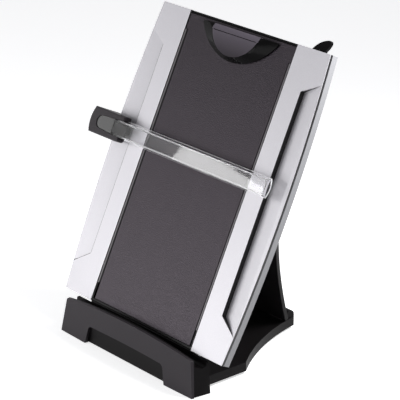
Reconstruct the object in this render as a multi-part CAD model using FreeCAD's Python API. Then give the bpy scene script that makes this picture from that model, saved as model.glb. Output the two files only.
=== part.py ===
import FreeCAD, Part
import math
import os

from FreeCAD import Placement, Rotation, Vector

# Copy holder with a line guide: an easel panel hinged on a narrow-waisted base, held up by a
# leg hinged at the base's rear. Millimetres. X runs to the right, Y to the rear, Z up.
# The origin is on the desk, in the middle, below the bottom edge of the panel's front face.

# Panel, in its own frame: x across, y up the panel, z out of its front face
PANEL_TILT = 64.2
PANEL_FOOT_Z = 35.0
PANEL_WIDTH = 243.0
PANEL_LENGTH = 306.5
EDGE_BOW = 7.4
PANEL_BACK = -12.0
RIM_BACK = -10.0
SEAM_TOP = -2.4
SEAM_BOTTOM = -3.2
CORE_BACK = -5.0
BACK_BEVEL = 5.0
BLACK_HALF = 77.9

# Wings, each with a facet that dips inward from the outer edge to a straight wall
WING_INNER = 78.2
CROWN = 1.5
CROWN_RADIUS = 720.0
WING_SHEET = 2.0
STEP_X = 101.5
STEP_DEPTH = -4.5
STEP_LOW_Y = 43.0
STEP_HIGH_Y = 265.4
FACET_EDGE_X = 124.1
FACET_LOW_Y = 28.5
FACET_HIGH_Y = 277.0
TAB_X = 88.0
TAB_Y = (20.0, 153.0, 290.0)
TAB_HALF_WIDTH = 1.4
TAB_HALF_LENGTH = 3.0

# Centre board, wider above the rails, and the black frame that shows round it
BOARD_HALF = 74.0
BOARD_TOP_HALF = 77.6
BOARD_LOW_Y = 3.2
BOARD_SHOULDER_Y = 287.3
BOARD_HIGH_Y = 303.7
BOARD_FACE = 0.8
BOARD_SOFTENING = 0.5
FRAME_FACE = 1.2
FRAME_INSET = 0.4
RAIL_INNER = 74.6
RAIL_LOW_Y = 19.7
RAIL_HIGH_Y = 286.8
RAIL_TOP = 1.4
SLOT_OUTER = 76.0

# Rear shell's screws, ribs and the rib that stops the leg
SHELL_SCREW_X = 92.0
SHELL_SCREW_Y = (12.0, 294.0)
SHELL_RIB_TOP = -7.4
STOP_HALF = 66.0
STOP_LOW_Y = 136.6
STOP_HIGH_Y = 139.2
STOP_HEIGHT = 2.6
SHELL_SCREW = 1.25

# Page clip at the top of the board
PAGE_CLIP_HALF = 56.0
PAGE_CLIP_TOP_Y = 301.3
PAGE_CLIP_LOW_Y = 269.8
PAGE_CLIP_FACE_HALF = 34.0
PAGE_CLIP_FACE_LOW_Y = 274.2
PAGE_CLIP_UNDER = 1.5
PAGE_CLIP_FACE = 8.4
PAGE_CLIP_AXIS_Y = 297.6
PAGE_CLIP_AXIS_Z = 4.2
PAGE_CLIP_PIN = 1.0
PAGE_CLIP_PIN_HALF = 29.8
PAGE_CLIP_EAR_INNER = 26.0
PAGE_CLIP_EAR_OUTER = 29.4
PAGE_CLIP_WALL = 2.0
CREASE_Y = 295.4
CREASE_WIDTH = 0.8
PILLAR_X = 21.0

# Line guide: a carrier that clamps the left edge, and a clear bar
GUIDE_Y = 170.5
CARRIER_LEFT = -153.0
CARRIER_RIGHT = -104.6
CARRIER_BULGE = 2.6
CARRIER_HALF_HEIGHT = 13.4
CARRIER_FACE = 14.2
CARRIER_UNDER = 2.3
ARM_UNDER = 5.0
ARM_START_X = -117.0
ARM_CORNER = 5.0
CARRIER_SPINE_X = -130.0
JAW_TIP_X = -106.0
JAW_FACE = -12.4
JAW_BACK = -16.4
BAR_FACE = 13.4
BAR_RIM = 5.6
BAR_LEFT = -146.0
BAR_TAPER_X = -114.0
BAR_TAPER = 1.5
BAR_RIGHT = 111.0
BAR_FACE_HALF = 8.0
BAR_RIM_HALF = 9.8
BAR_WALL = 1.5
BAR_END_BULGE = 2.2
BAR_FLARE = 2.0
BAR_PLAY = 0.35
CARRIER_WALL = 3.0
CARRIER_SCREW = 1.05
CARRIER_SCREW_X = -141.5

# Base and hinges
BASE_HALF = 95.0
BASE_FRONT_Y = 4.3
BASE_WAIST_START_Y = 54.0
BASE_REAR_HALF = 46.5
BASE_REAR_Y = 160.6
BASE_WAIST_SAG = 7.5
BASE_BOTTOM = 3.0
BASE_DECK = 11.0
BASE_RIM_TOP = 12.4
WALL = 2.2
LIP_TOP = 20.4

ROD_RADIUS = 2.0
ROD_FIT = 0.06
BARREL_RADIUS = 4.5

PANEL_AXIS_LOCAL_Y = 1.0
PANEL_AXIS_LOCAL_Z = -13.0
LEG_AXIS_Y = 155.4
LEG_AXIS_Z = 15.4
LEG_LEAN = 26.4
LEG_LENGTH = 163.6
LEG_FOOT_HALF = 51.0
LEG_SHOULDER_S = 150.0
LEG_SHOULDER_HALF = 108.0
LEG_SAG = 4.6
LEG_INNER = 7.4
LEG_FACE = 10.2
KNUCKLE_HALF = 23.4
KNUCKLE_RADIUS = 4.9
LEG_START = 2.8

# Ledge
LEDGE_FRONT_Y = -20.8
LEDGE_BOW = 1.8
LEDGE_HALF = 102.8
LEDGE_REAR_HALF = 105.4
LEDGE_REAR_Y = 0.8
LEDGE_TOP_Z = 46.0
LEDGE_LEAN_Y = 5.1
LEDGE_LEAN_X = 7.6
LEDGE_REAR_LEAN_X = 4.0
FASCIA_END_Z = 35.8
FASCIA_MID_Z = 42.2
FASCIA_SKIN = 3.0
TRAY_REAR_TOP = 32.4
TRAY_REAR_ROUND = 3.0
TRAY_FLOOR_FRONT = 28.3
TRAY_FLOOR_LOW = 26.5
TRAY_END_INSET = 0.8
LEDGE_SCREW_X = (-44.0, 44.0)
LEDGE_SCREW_Y = 10.5
LEDGE_SCREW = 1.2
SUNK_FOOT_HALF = 62.0
SUNK_TOP_HALF = 57.6
SUNK_SHOULDER_Z = 19.4
SUNK_CROWN_Z = 20.6
SUNK_CORNER = 4.0
SUNK_FLOOR_Y = -17.0

# Screws: head depth, play in a pilot hole, and sides of a small round
SCREW_SINK = 0.2
SCREW_HEAD_DEPTH = 1.4
PILOT_PLAY = 0.05
SMALL_SIDES = 12

# Gap between pieces that only lie side by side, and how far a cutter runs past its piece
GAP = 0.3
PAST = 1.0

X_AXIS = Vector(1, 0, 0)
Y_AXIS = Vector(0, 1, 0)
Z_AXIS = Vector(0, 0, 1)


def box(x0, x1, y0, y1, z0, z1):
    return Part.makeBox(x1 - x0, y1 - y0, z1 - z0, Vector(x0, y0, z0))


def prism_z(points, z0, z1):
    """Solid from a closed outline of (x, y) points, standing between two heights."""
    corners = [Vector(x, y, z0) for x, y in points]
    wire = Part.makePolygon(corners + corners[:1])
    return Part.Face(wire).extrude(Vector(0, 0, z1 - z0))


def prism_x(points, x0, x1):
    """Solid from a closed outline of (y, z) points, running across the object."""
    corners = [Vector(x0, y, z) for y, z in points]
    wire = Part.makePolygon(corners + corners[:1])
    return Part.Face(wire).extrude(Vector(x1 - x0, 0, 0))


def prism_y(points, y0, y1):
    """Solid from a closed outline of (x, z) points, running front to rear."""
    corners = [Vector(x, y0, z) for x, z in points]
    wire = Part.makePolygon(corners + corners[:1])
    return Part.Face(wire).extrude(Vector(0, y1 - y0, 0))


def rod_x(x0, x1, y, z, radius):
    return Part.makeCylinder(radius, x1 - x0, Vector(x0, y, z), X_AXIS)


def rod_z(x, y, z0, z1, radius):
    return Part.makeCylinder(radius, z1 - z0, Vector(x, y, z0), Z_AXIS)


def arc_edge(start, middle, end):
    return Part.Arc(Vector(*start), Vector(*middle), Vector(*end)).toShape()


def line_edge(start, end):
    return Part.LineSegment(Vector(*start), Vector(*end)).toShape()


def mirrored(shape):
    return shape.mirror(Vector(0, 0, 0), X_AXIS)


def both_sides(shape):
    return [shape, mirrored(shape)]


def joined(shapes):
    return shapes[0].multiFuse(shapes[1:]).removeSplitter()


def panel_point(y, z):
    """A point of the panel's own frame, as the object's Y and Z."""
    tilt = math.radians(PANEL_TILT)
    world_y = y * math.cos(tilt) - z * math.sin(tilt)
    world_z = PANEL_FOOT_Z + y * math.sin(tilt) + z * math.cos(tilt)
    return world_y, world_z


def on_panel(shape):
    """Moves a shape from the panel's own frame to its place on the easel."""
    placed = shape.copy()
    lean = Placement(Vector(0, 0, PANEL_FOOT_Z), Rotation(X_AXIS, PANEL_TILT))
    placed.Placement = lean.multiply(placed.Placement)
    return placed


def on_leg(shape):
    """Moves a shape from the leg's own frame: x across, y along the leg, z towards the panel."""
    placed = shape.copy()
    lean = Placement(Vector(0, LEG_AXIS_Y, LEG_AXIS_Z), Rotation(X_AXIS, 90.0 + LEG_LEAN))
    placed.Placement = lean.multiply(placed.Placement)
    return placed


PANEL_AXIS_Y, PANEL_AXIS_Z = panel_point(PANEL_AXIS_LOCAL_Y, PANEL_AXIS_LOCAL_Z)


def panel_outline(inset, z):
    """The panel's outline, with both long edges bowed outward, drawn in from the edge."""
    half = PANEL_WIDTH / 2 - inset
    bowed = half + EDGE_BOW
    low = inset
    high = PANEL_LENGTH - inset
    middle = PANEL_LENGTH / 2
    edges = [
        line_edge((-half, low, z), (half, low, z)),
        arc_edge((half, low, z), (bowed, middle, z), (half, high, z)),
        line_edge((half, high, z), (-half, high, z)),
        arc_edge((-half, high, z), (-bowed, middle, z), (-half, low, z)),
    ]
    return Part.Wire(edges)


def panel_slab(inset, z0, z1):
    return Part.Face(panel_outline(inset, z0)).extrude(Vector(0, 0, z1 - z0))


def facet_region(grow, outer_x, z0, z1):
    """Right-hand area of the stepped facet, seen from the front."""
    low_slope = (STEP_LOW_Y - FACET_LOW_Y) / (FACET_EDGE_X - STEP_X)
    high_slope = (FACET_HIGH_Y - STEP_HIGH_Y) / (FACET_EDGE_X - STEP_X)
    reach = outer_x - STEP_X
    points = [
        (STEP_X - grow, STEP_LOW_Y - grow),
        (outer_x, STEP_LOW_Y - grow - low_slope * reach),
        (outer_x, STEP_HIGH_Y + grow + high_slope * reach),
        (STEP_X - grow, STEP_HIGH_Y + grow),
    ]
    return prism_z(points, z0, z1)


def crown_z(x):
    """Height of the wings' crowned face at a distance from the middle."""
    return CROWN - CROWN_RADIUS + math.sqrt(CROWN_RADIUS ** 2 - (x - WING_INNER) ** 2)


def wing_tab(y, grow):
    """Tab under a wing that plugs into the core frame, or its hole when grown."""
    width = TAB_HALF_WIDTH + grow
    length = TAB_HALF_LENGTH + grow
    return box(TAB_X - width, TAB_X + width, y - length, y + length, CORE_BACK, SEAM_TOP)


def make_right_wing():
    """Silver wing: a crowned plate with a facet that dips to a dark step, and tabs below."""
    edge_x = PANEL_WIDTH / 2 + EDGE_BOW + PAST
    middle_x = (edge_x + WING_INNER) / 2
    section = Part.Wire([
        line_edge((WING_INNER, 0, SEAM_TOP), (edge_x, 0, SEAM_TOP)),
        line_edge((edge_x, 0, SEAM_TOP), (edge_x, 0, crown_z(edge_x))),
        arc_edge((edge_x, 0, crown_z(edge_x)), (middle_x, 0, crown_z(middle_x)), (WING_INNER, 0, CROWN)),
        line_edge((WING_INNER, 0, CROWN), (WING_INNER, 0, SEAM_TOP)),
    ])
    plate = Part.Face(section).extrude(Vector(0, PANEL_LENGTH, 0))
    slope = -STEP_DEPTH / (FACET_EDGE_X - STEP_X)
    edge_z = slope * (edge_x - FACET_EDGE_X)
    low = CORE_BACK - 2 * WING_SHEET
    high = CROWN + PAST
    folded = prism_y([
        (STEP_X - WING_SHEET, 0),
        (STEP_X - WING_SHEET, STEP_DEPTH - WING_SHEET),
        (STEP_X, STEP_DEPTH - WING_SHEET),
        (edge_x, edge_z - WING_SHEET),
        (edge_x, 0),
    ], 0, PANEL_LENGTH).common(facet_region(WING_SHEET, edge_x, low, high))
    dip = prism_y([
        (STEP_X, STEP_DEPTH),
        (edge_x, edge_z),
        (edge_x, high),
        (STEP_X, high),
    ], 0, PANEL_LENGTH).common(facet_region(0, edge_x, low, high))
    wing = plate.fuse(folded).common(panel_slab(0, low, high)).cut(dip)
    return joined([wing] + [wing_tab(y, 0) for y in TAB_Y])


def make_core_frame():
    """Black frame between wings and rear shell, with bars above and below the board."""
    flange = panel_slab(0.8, SEAM_BOTTOM, SEAM_TOP)
    body = panel_slab(2.4, CORE_BACK, SEAM_BOTTOM)
    top_y = PANEL_LENGTH - FRAME_INSET
    top_bar = box(-BLACK_HALF, BLACK_HALF, BOARD_HIGH_Y + GAP, top_y, SEAM_TOP, FRAME_FACE)
    top_bar = top_bar.makeFillet(0.6, [edge_along_x(top_bar, top_y, FRAME_FACE)])
    low_bar = box(-BLACK_HALF, BLACK_HALF, FRAME_INSET, BOARD_LOW_Y - GAP, SEAM_TOP, FRAME_FACE)
    low_bar = low_bar.makeFillet(0.6, [edge_along_x(low_bar, FRAME_INSET, FRAME_FACE)])
    strip = box(SLOT_OUTER, BLACK_HALF, BOARD_LOW_Y - GAP, RAIL_LOW_Y - GAP, SEAM_TOP, FRAME_FACE)
    frame = joined([flange, body, top_bar, low_bar] + both_sides(strip))
    pocket = facet_region(WING_SHEET + 0.4, 122.4, CORE_BACK - PAST, SEAM_TOP + PAST)
    tab_holes = []
    for y in TAB_Y:
        tab_holes += both_sides(wing_tab(y, 0.15))
    for opening in both_sides(pocket) + tab_holes:
        frame = frame.cut(opening)
    for x, y in screw_places():
        frame = frame.cut(small_rod(x, y, CORE_BACK - PAST, SEAM_BOTTOM, SHELL_SCREW + PILOT_PLAY))
    return frame


def edge_along_x(shape, y, z):
    """The long edge of a bar that lies at the given place."""
    for edge in shape.Edges:
        start = edge.Vertexes[0].Point
        end = edge.Vertexes[-1].Point
        there = all(abs(p.y - y) < 0.01 and abs(p.z - z) < 0.01 for p in (start, end))
        if there and abs(start.x - end.x) > 50:
            return edge
    raise ValueError("no such edge")


def screw_places():
    """Places of the shell screws, in the panel's own frame."""
    return [(x, y) for x in (-SHELL_SCREW_X, SHELL_SCREW_X) for y in SHELL_SCREW_Y]


def small_rod(x, y, z0, z1, radius):
    """A rod along z with few sides, for small fasteners and their holes."""
    corners = []
    for i in range(SMALL_SIDES):
        turn = 2 * math.pi * i / SMALL_SIDES
        corners.append((x + radius * math.cos(turn), y + radius * math.sin(turn)))
    return prism_z(corners, z0, z1)


def sunk_screw(x, y, surface_z, tip_z, shank):
    """A flat-headed screw that points up along z, with its head just below the surface."""
    head_z = surface_z + SCREW_SINK
    seat_z = head_z + SCREW_HEAD_DEPTH
    head = small_rod(x, y, head_z, seat_z, 2 * shank)
    return head.fuse(small_rod(x, y, seat_z, tip_z, shank))


def screw_hole(x, y, surface_z, end_z, shank):
    """Hole with a sunk seat for such a screw."""
    seat_z = surface_z + SCREW_SINK + SCREW_HEAD_DEPTH
    seat = small_rod(x, y, surface_z - PAST, seat_z, 2 * shank + GAP)
    return seat.fuse(small_rod(x, y, seat_z, end_z, shank + GAP))


def make_rear_shell():
    """Silver-grey pan: bevelled back, ribs, screw bosses, hinge lugs and the leg's stop rib."""
    rim = panel_slab(0, RIM_BACK, SEAM_BOTTOM)
    bevel = Part.makeLoft([panel_outline(0, RIM_BACK), panel_outline(BACK_BEVEL, PANEL_BACK)], True, True)
    deep = panel_slab(BACK_BEVEL + 2.0, PANEL_BACK + WALL, SEAM_BOTTOM + PAST)
    shallow = panel_slab(WALL, RIM_BACK + 1.9, SEAM_BOTTOM + PAST)
    shell = rim.fuse(bevel).cut(deep.fuse(shallow))
    rib_low = PANEL_BACK + WALL / 2
    ribs = [box(-110.0, 110.0, y - 0.8, y + 0.8, rib_low, SHELL_RIB_TOP) for y in (60.0, 150.0, 240.0)]
    ribs += [box(x - 0.8, x + 0.8, 4.0, 302.0, rib_low, SHELL_RIB_TOP) for x in (-50.0, 50.0)]
    bosses = [small_rod(x, y, rib_low, CORE_BACK, 3.8) for x, y in screw_places()]
    lugs = []
    for x0, x1 in ((50.0, 59.7), (68.3, 78.0)):
        lugs += both_sides(panel_lug(x0, x1))
    stop = box(-STOP_HALF, STOP_HALF, STOP_LOW_Y, STOP_HIGH_Y, PANEL_BACK - STOP_HEIGHT, rib_low)
    shell = joined([shell] + ribs + bosses + lugs + [stop])
    for x, y in screw_places():
        shell = shell.cut(screw_hole(x, y, PANEL_BACK, CORE_BACK + PAST, SHELL_SCREW))
    post_room = rod_x(59.6, 68.4, PANEL_AXIS_LOCAL_Y, PANEL_AXIS_LOCAL_Z, BARREL_RADIUS + 0.6)
    rod_hole = rod_x(48.0, 80.0, PANEL_AXIS_LOCAL_Y, PANEL_AXIS_LOCAL_Z, ROD_RADIUS + ROD_FIT)
    for cutter in both_sides(post_room) + both_sides(rod_hole):
        shell = shell.cut(cutter)
    return shell


def panel_lug(x0, x1):
    """Hinge lug on the panel's bottom edge: a barrel with a web that runs up the back."""
    y = PANEL_AXIS_LOCAL_Y
    z = PANEL_AXIS_LOCAL_Z
    web = prism_x([
        (y - BARREL_RADIUS + 0.4, z + 1.8),
        (y, z - BARREL_RADIUS),
        (y + 2.4, z - 3.8),
        (y + 15.0, PANEL_BACK),
        (y + 15.0, PANEL_BACK + 1.5),
        (y - 0.9, PANEL_BACK + 4.5),
    ], x0, x1)
    return rod_x(x0, x1, y, z, BARREL_RADIUS).fuse(web)


def make_shell_screws():
    """Screws, sunk flush in the back, that draw the rear shell up to the core frame."""
    return Part.makeCompound([
        sunk_screw(x, y, PANEL_BACK, CORE_BACK + 1.6, SHELL_SCREW)
        for x, y in screw_places()
    ])


def pillar_places(reach_x, reach_y, z0, z1):
    """Boxes round the page clip's two pillars."""
    return [box(x - reach_x, x + reach_x, PAGE_CLIP_AXIS_Y - reach_y, PAGE_CLIP_AXIS_Y + reach_y, z0, z1)
            for x in (-PILLAR_X, PILLAR_X)]


def make_board():
    """Grained board: narrow between the rails, full width above them, with softened edges."""
    right = [
        (BOARD_HALF, BOARD_LOW_Y),
        (BOARD_HALF, BOARD_SHOULDER_Y),
        (BOARD_TOP_HALF, BOARD_SHOULDER_Y),
        (BOARD_TOP_HALF, BOARD_HIGH_Y),
    ]
    left = [(-x, y) for x, y in reversed(right)]
    board = prism_z(right + left, SEAM_TOP, BOARD_FACE)
    edges = [e for e in board.Edges if all(abs(v.Point.z - BOARD_FACE) < 0.01 for v in e.Vertexes)]
    board = board.makeFillet(BOARD_SOFTENING, edges)
    for opening in pillar_places(4.3, 3.5, SEAM_TOP - PAST, BOARD_FACE + PAST):
        board = board.cut(opening)
    return board


def make_board_rail():
    """Right-hand rail beside the board: a round-topped strip that leaves a fine groove."""
    middle = (RAIL_INNER + BLACK_HALF) / 2
    side_top = RAIL_TOP - 1.0
    section = Part.Wire([
        line_edge((RAIL_INNER, RAIL_LOW_Y, SEAM_TOP), (BLACK_HALF, RAIL_LOW_Y, SEAM_TOP)),
        line_edge((BLACK_HALF, RAIL_LOW_Y, SEAM_TOP), (BLACK_HALF, RAIL_LOW_Y, side_top)),
        arc_edge((BLACK_HALF, RAIL_LOW_Y, side_top), (middle, RAIL_LOW_Y, RAIL_TOP),
                 (RAIL_INNER, RAIL_LOW_Y, side_top)),
        line_edge((RAIL_INNER, RAIL_LOW_Y, side_top), (RAIL_INNER, RAIL_LOW_Y, SEAM_TOP)),
    ])
    return Part.Face(section).extrude(Vector(0, RAIL_HIGH_Y - RAIL_LOW_Y, 0))


def d_wire(half, top_y, low_y, z):
    """A D lying on its back: straight top edge and one long arc below."""
    sag = top_y - low_y
    return Part.Wire([
        line_edge((half, top_y, z), (-half, top_y, z)),
        arc_edge((-half, top_y, z), (0, top_y - sag, z), (half, top_y, z)),
    ])


def make_page_clip():
    """Sprung page clip: a domed D with wide side bevels, a finger crease and two pivot ears."""
    skirt_top = PAGE_CLIP_UNDER + 0.8
    skirt = Part.Face(d_wire(PAGE_CLIP_HALF, PAGE_CLIP_TOP_Y, PAGE_CLIP_LOW_Y, PAGE_CLIP_UNDER))
    skirt = skirt.extrude(Vector(0, 0, skirt_top - PAGE_CLIP_UNDER))
    dome = Part.makeLoft([
        d_wire(PAGE_CLIP_HALF, PAGE_CLIP_TOP_Y, PAGE_CLIP_LOW_Y, skirt_top),
        d_wire(PAGE_CLIP_FACE_HALF, PAGE_CLIP_TOP_Y - 0.6, PAGE_CLIP_FACE_LOW_Y, PAGE_CLIP_FACE),
    ], True, True)
    roof = PAGE_CLIP_FACE - PAGE_CLIP_WALL
    hollow_wire = d_wire(PAGE_CLIP_FACE_HALF - 2.4, PAGE_CLIP_TOP_Y - 1.0, PAGE_CLIP_FACE_LOW_Y + 4.0, 0)
    hollow = Part.Face(hollow_wire).extrude(Vector(0, 0, roof))
    heel = prism_x([
        (PAGE_CLIP_AXIS_Y, 0),
        (PAGE_CLIP_AXIS_Y, PAGE_CLIP_UNDER),
        (PAGE_CLIP_TOP_Y + PAST, PAGE_CLIP_UNDER + 1.9),
        (PAGE_CLIP_TOP_Y + PAST, 0),
    ], -PAGE_CLIP_HALF - PAST, PAGE_CLIP_HALF + PAST)
    crease_low = CREASE_Y - CREASE_WIDTH / 2
    crease_high = CREASE_Y + CREASE_WIDTH / 2
    crease_half = PAGE_CLIP_FACE_HALF - 3.0
    crease_floor = PAGE_CLIP_FACE - 0.7
    crease = box(-crease_half, crease_half, crease_low, crease_high, crease_floor, PAGE_CLIP_FACE + PAST)
    lip = prism_x([
        (crease_high, PAGE_CLIP_FACE + 0.01),
        (PAGE_CLIP_TOP_Y + PAST, PAGE_CLIP_FACE - 2.4),
        (PAGE_CLIP_TOP_Y + PAST, PAGE_CLIP_FACE + PAST),
    ], -PAGE_CLIP_HALF, PAGE_CLIP_HALF)
    clip = skirt.fuse(dome)
    for cutter in (hollow, heel, crease, lip):
        clip = clip.cut(cutter)
    clip = joined([clip] + both_sides(page_clip_ear()))
    return clip.cut(page_clip_rod(PAGE_CLIP_EAR_OUTER + PAST, PAGE_CLIP_PIN + ROD_FIT))


def page_clip_rod(half, radius):
    return rod_x(-half, half, PAGE_CLIP_AXIS_Y, PAGE_CLIP_AXIS_Z, radius)


def page_clip_ear():
    return box(PAGE_CLIP_EAR_INNER, PAGE_CLIP_EAR_OUTER, PAGE_CLIP_AXIS_Y - 2.4, PAGE_CLIP_AXIS_Y + 2.0,
               PAGE_CLIP_AXIS_Z - 2.0, PAGE_CLIP_FACE - PAGE_CLIP_WALL + 0.5)


def make_page_clip_mounts():
    """Two pillars on the core frame that pass through the board and hold the page clip's pin."""
    feet = pillar_places(4.0, 3.2, SEAM_TOP, FRAME_FACE - 0.1)
    stems = pillar_places(3.0, 1.5, SEAM_TOP, PAGE_CLIP_AXIS_Z + 1.4)
    bore = page_clip_rod(PAGE_CLIP_PIN_HALF, PAGE_CLIP_PIN)
    return Part.makeCompound([foot.fuse(stem).cut(bore) for foot, stem in zip(feet, stems)])


def make_page_clip_pin():
    return page_clip_rod(PAGE_CLIP_PIN_HALF, PAGE_CLIP_PIN)


def coil_turn(x0, x1, radius):
    """One turn of the spring, drawn as a ten-sided ring round the pin."""
    sides = 10
    corners = []
    for i in range(sides):
        turn = 2 * math.pi * i / sides
        y = PAGE_CLIP_AXIS_Y + radius * math.cos(turn)
        z = PAGE_CLIP_AXIS_Z + radius * math.sin(turn)
        corners.append((y, z))
    return prism_x(corners, x0, x1)


def make_page_clip_spring():
    """Torsion spring on the pin: a wound barrel and two legs that bear on the board."""
    half = 8.0
    wire = 0.8
    barrel = coil_turn(-half, half, 1.6)
    turns = [coil_turn(x - wire / 2, x + wire / 2, 1.9) for x in (-6.0, -3.0, 0.0, 3.0, 6.0)]
    low = PAGE_CLIP_AXIS_Z - 1.6
    leg = box(half - wire, half, PAGE_CLIP_AXIS_Y - 9.0, PAGE_CLIP_AXIS_Y, low, low + wire)
    wound = joined([barrel] + turns + both_sides(leg))
    return wound.cut(coil_turn(-half - PAST, half + PAST, 1.12))


def make_page_clip_pad():
    """Soft grip strip under the clip's lower lip."""
    thickness = 0.4
    outer = Part.Face(d_wire(PAGE_CLIP_HALF - 14.0, PAGE_CLIP_TOP_Y - 15.0, PAGE_CLIP_LOW_Y + 1.0, 0))
    inner = Part.Face(d_wire(PAGE_CLIP_HALF - 17.0, PAGE_CLIP_TOP_Y - 14.0, PAGE_CLIP_LOW_Y + 4.0, 0))
    strip = outer.cut(inner).extrude(Vector(0, 0, thickness))
    strip.translate(Vector(0, 0, PAGE_CLIP_UNDER - thickness))
    return strip


def make_rear_hook():
    """Black horn-shaped hook behind the top right corner."""
    z0 = PANEL_BACK - 3.2
    root = (84.5, 292.0)
    outline = Part.Wire([
        line_edge((root[0], root[1], z0), (101.4, root[1], z0)),
        line_edge((101.4, root[1], z0), (102.0, 308.5, z0)),
        arc_edge((102.0, 308.5, z0), (104.5, 312.4, z0), (105.6, 316.6, z0)),
        arc_edge((105.6, 316.6, z0), (104.3, 318.6, z0), (101.8, 318.8, z0)),
        arc_edge((101.8, 318.8, z0), (92.4, 315.0, z0), (root[0], 307.0, z0)),
        line_edge((root[0], 307.0, z0), (root[0], root[1], z0)),
    ])
    return Part.Face(outline).extrude(Vector(0, 0, 3.2))


def carrier_wire(z, inset):
    """Outline of the carrier's front block, with its left end bowed."""
    left = CARRIER_LEFT + inset
    right = CARRIER_RIGHT - inset
    low = GUIDE_Y - CARRIER_HALF_HEIGHT + inset
    high = GUIDE_Y + CARRIER_HALF_HEIGHT - inset
    return Part.Wire([
        line_edge((left, low, z), (right, low, z)),
        line_edge((right, low, z), (right, high, z)),
        line_edge((right, high, z), (left, high, z)),
        arc_edge((left, high, z), (left - CARRIER_BULGE, GUIDE_Y, z), (left, low, z)),
    ])


def bar_wire(z, half, left, right, bulge):
    """Outline of the clear bar at one height: tapered round left end, bowed right end."""
    low = GUIDE_Y - half
    high = GUIDE_Y + half
    tip_half = half - BAR_TAPER
    tip_low = GUIDE_Y - tip_half
    tip_high = GUIDE_Y + tip_half
    start = left + tip_half
    return Part.Wire([
        line_edge((start, tip_low, z), (BAR_TAPER_X, low, z)),
        line_edge((BAR_TAPER_X, low, z), (right, low, z)),
        arc_edge((right, low, z), (right + bulge, GUIDE_Y, z), (right, high, z)),
        line_edge((right, high, z), (BAR_TAPER_X, high, z)),
        line_edge((BAR_TAPER_X, high, z), (start, tip_high, z)),
        arc_edge((start, tip_high, z), (left, GUIDE_Y, z), (start, tip_low, z)),
    ])


def bar_solid(grow, z_face, z_rim, right):
    """The bar's flared outer form between its face and its open rim."""
    face_wire = bar_wire(z_face, BAR_FACE_HALF + grow, BAR_LEFT + BAR_FLARE - grow, right, BAR_END_BULGE)
    rim_wire = bar_wire(z_rim, BAR_RIM_HALF + grow, BAR_LEFT - grow, right, BAR_END_BULGE)
    return Part.makeLoft([rim_wire, face_wire], True, True)


def make_guide_bar():
    """Clear line-guide bar: an open-backed channel with flared walls and rounded ends."""
    right = BAR_RIGHT - BAR_END_BULGE
    outer = bar_solid(0, BAR_FACE, BAR_RIM, right)
    inner = bar_solid(-BAR_WALL, BAR_FACE - BAR_WALL, BAR_RIM - 0.01, right - BAR_WALL)
    return outer.cut(inner)


def make_carrier_body():
    """Carrier's front block with the U-shaped bar pocket, and the spine round the panel's edge."""
    chamfer = 1.2
    chamfer_z = CARRIER_FACE - 1.4
    low = GUIDE_Y - CARRIER_HALF_HEIGHT
    high = GUIDE_Y + CARRIER_HALF_HEIGHT
    block = Part.Face(carrier_wire(CARRIER_UNDER, 0)).extrude(Vector(0, 0, chamfer_z - CARRIER_UNDER))
    brow = Part.makeLoft([carrier_wire(chamfer_z, 0), carrier_wire(CARRIER_FACE, chamfer)], True, True)
    past_right = CARRIER_RIGHT + 30.0
    pocket = bar_solid(BAR_PLAY, BAR_FACE, BAR_RIM - BAR_PLAY, past_right)
    mouth_left = BAR_LEFT + BAR_FLARE - BAR_PLAY
    mouth_wire = bar_wire(BAR_FACE, BAR_FACE_HALF + BAR_PLAY, mouth_left, past_right, PAST)
    mouth = Part.Face(mouth_wire).extrude(Vector(0, 0, CARRIER_FACE))
    spine = Part.Face(carrier_wire(JAW_FACE, 0)).extrude(Vector(0, 0, CARRIER_UNDER - JAW_FACE))
    spine = spine.cut(box(CARRIER_SPINE_X, CARRIER_RIGHT + PAST, low - PAST, high + PAST, JAW_FACE - PAST,
                          CARRIER_UNDER + PAST))
    hollow = box(CARRIER_LEFT + CARRIER_WALL, CARRIER_SPINE_X - CARRIER_WALL, low + CARRIER_WALL,
                 high - CARRIER_WALL, JAW_FACE - PAST, 0.6)
    web = box(CARRIER_SCREW_X - 3.0, CARRIER_SCREW_X + 3.0, low + PAST, high - PAST, JAW_FACE, CARRIER_UNDER)
    under_relief = prism_y([
        (ARM_START_X, CARRIER_UNDER - 0.1),
        (CARRIER_RIGHT + PAST, CARRIER_UNDER - 0.1),
        (CARRIER_RIGHT + PAST, ARM_UNDER),
        (ARM_START_X + 2.0, ARM_UNDER),
    ], low - PAST, high + PAST)
    corner_x = CARRIER_RIGHT - ARM_CORNER
    corner_y = low + ARM_CORNER
    corner = box(corner_x, CARRIER_RIGHT + PAST, low - PAST, corner_y, CARRIER_UNDER, CARRIER_FACE + PAST)
    corner = corner.cut(rod_z(corner_x, corner_y, CARRIER_UNDER - PAST, CARRIER_FACE + 2 * PAST, ARM_CORNER))
    body = joined([block, brow]).cut(pocket).cut(mouth)
    body = joined([body, spine]).cut(hollow)
    body = joined([body, web])
    for y in carrier_screw_places():
        body = body.cut(small_rod(CARRIER_SCREW_X, y, JAW_FACE - PAST, -2.0, CARRIER_SCREW + PILOT_PLAY))
    return body.cut(under_relief).cut(corner)


def carrier_screw_places():
    return (GUIDE_Y - 7.0, GUIDE_Y + 7.0)


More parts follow.
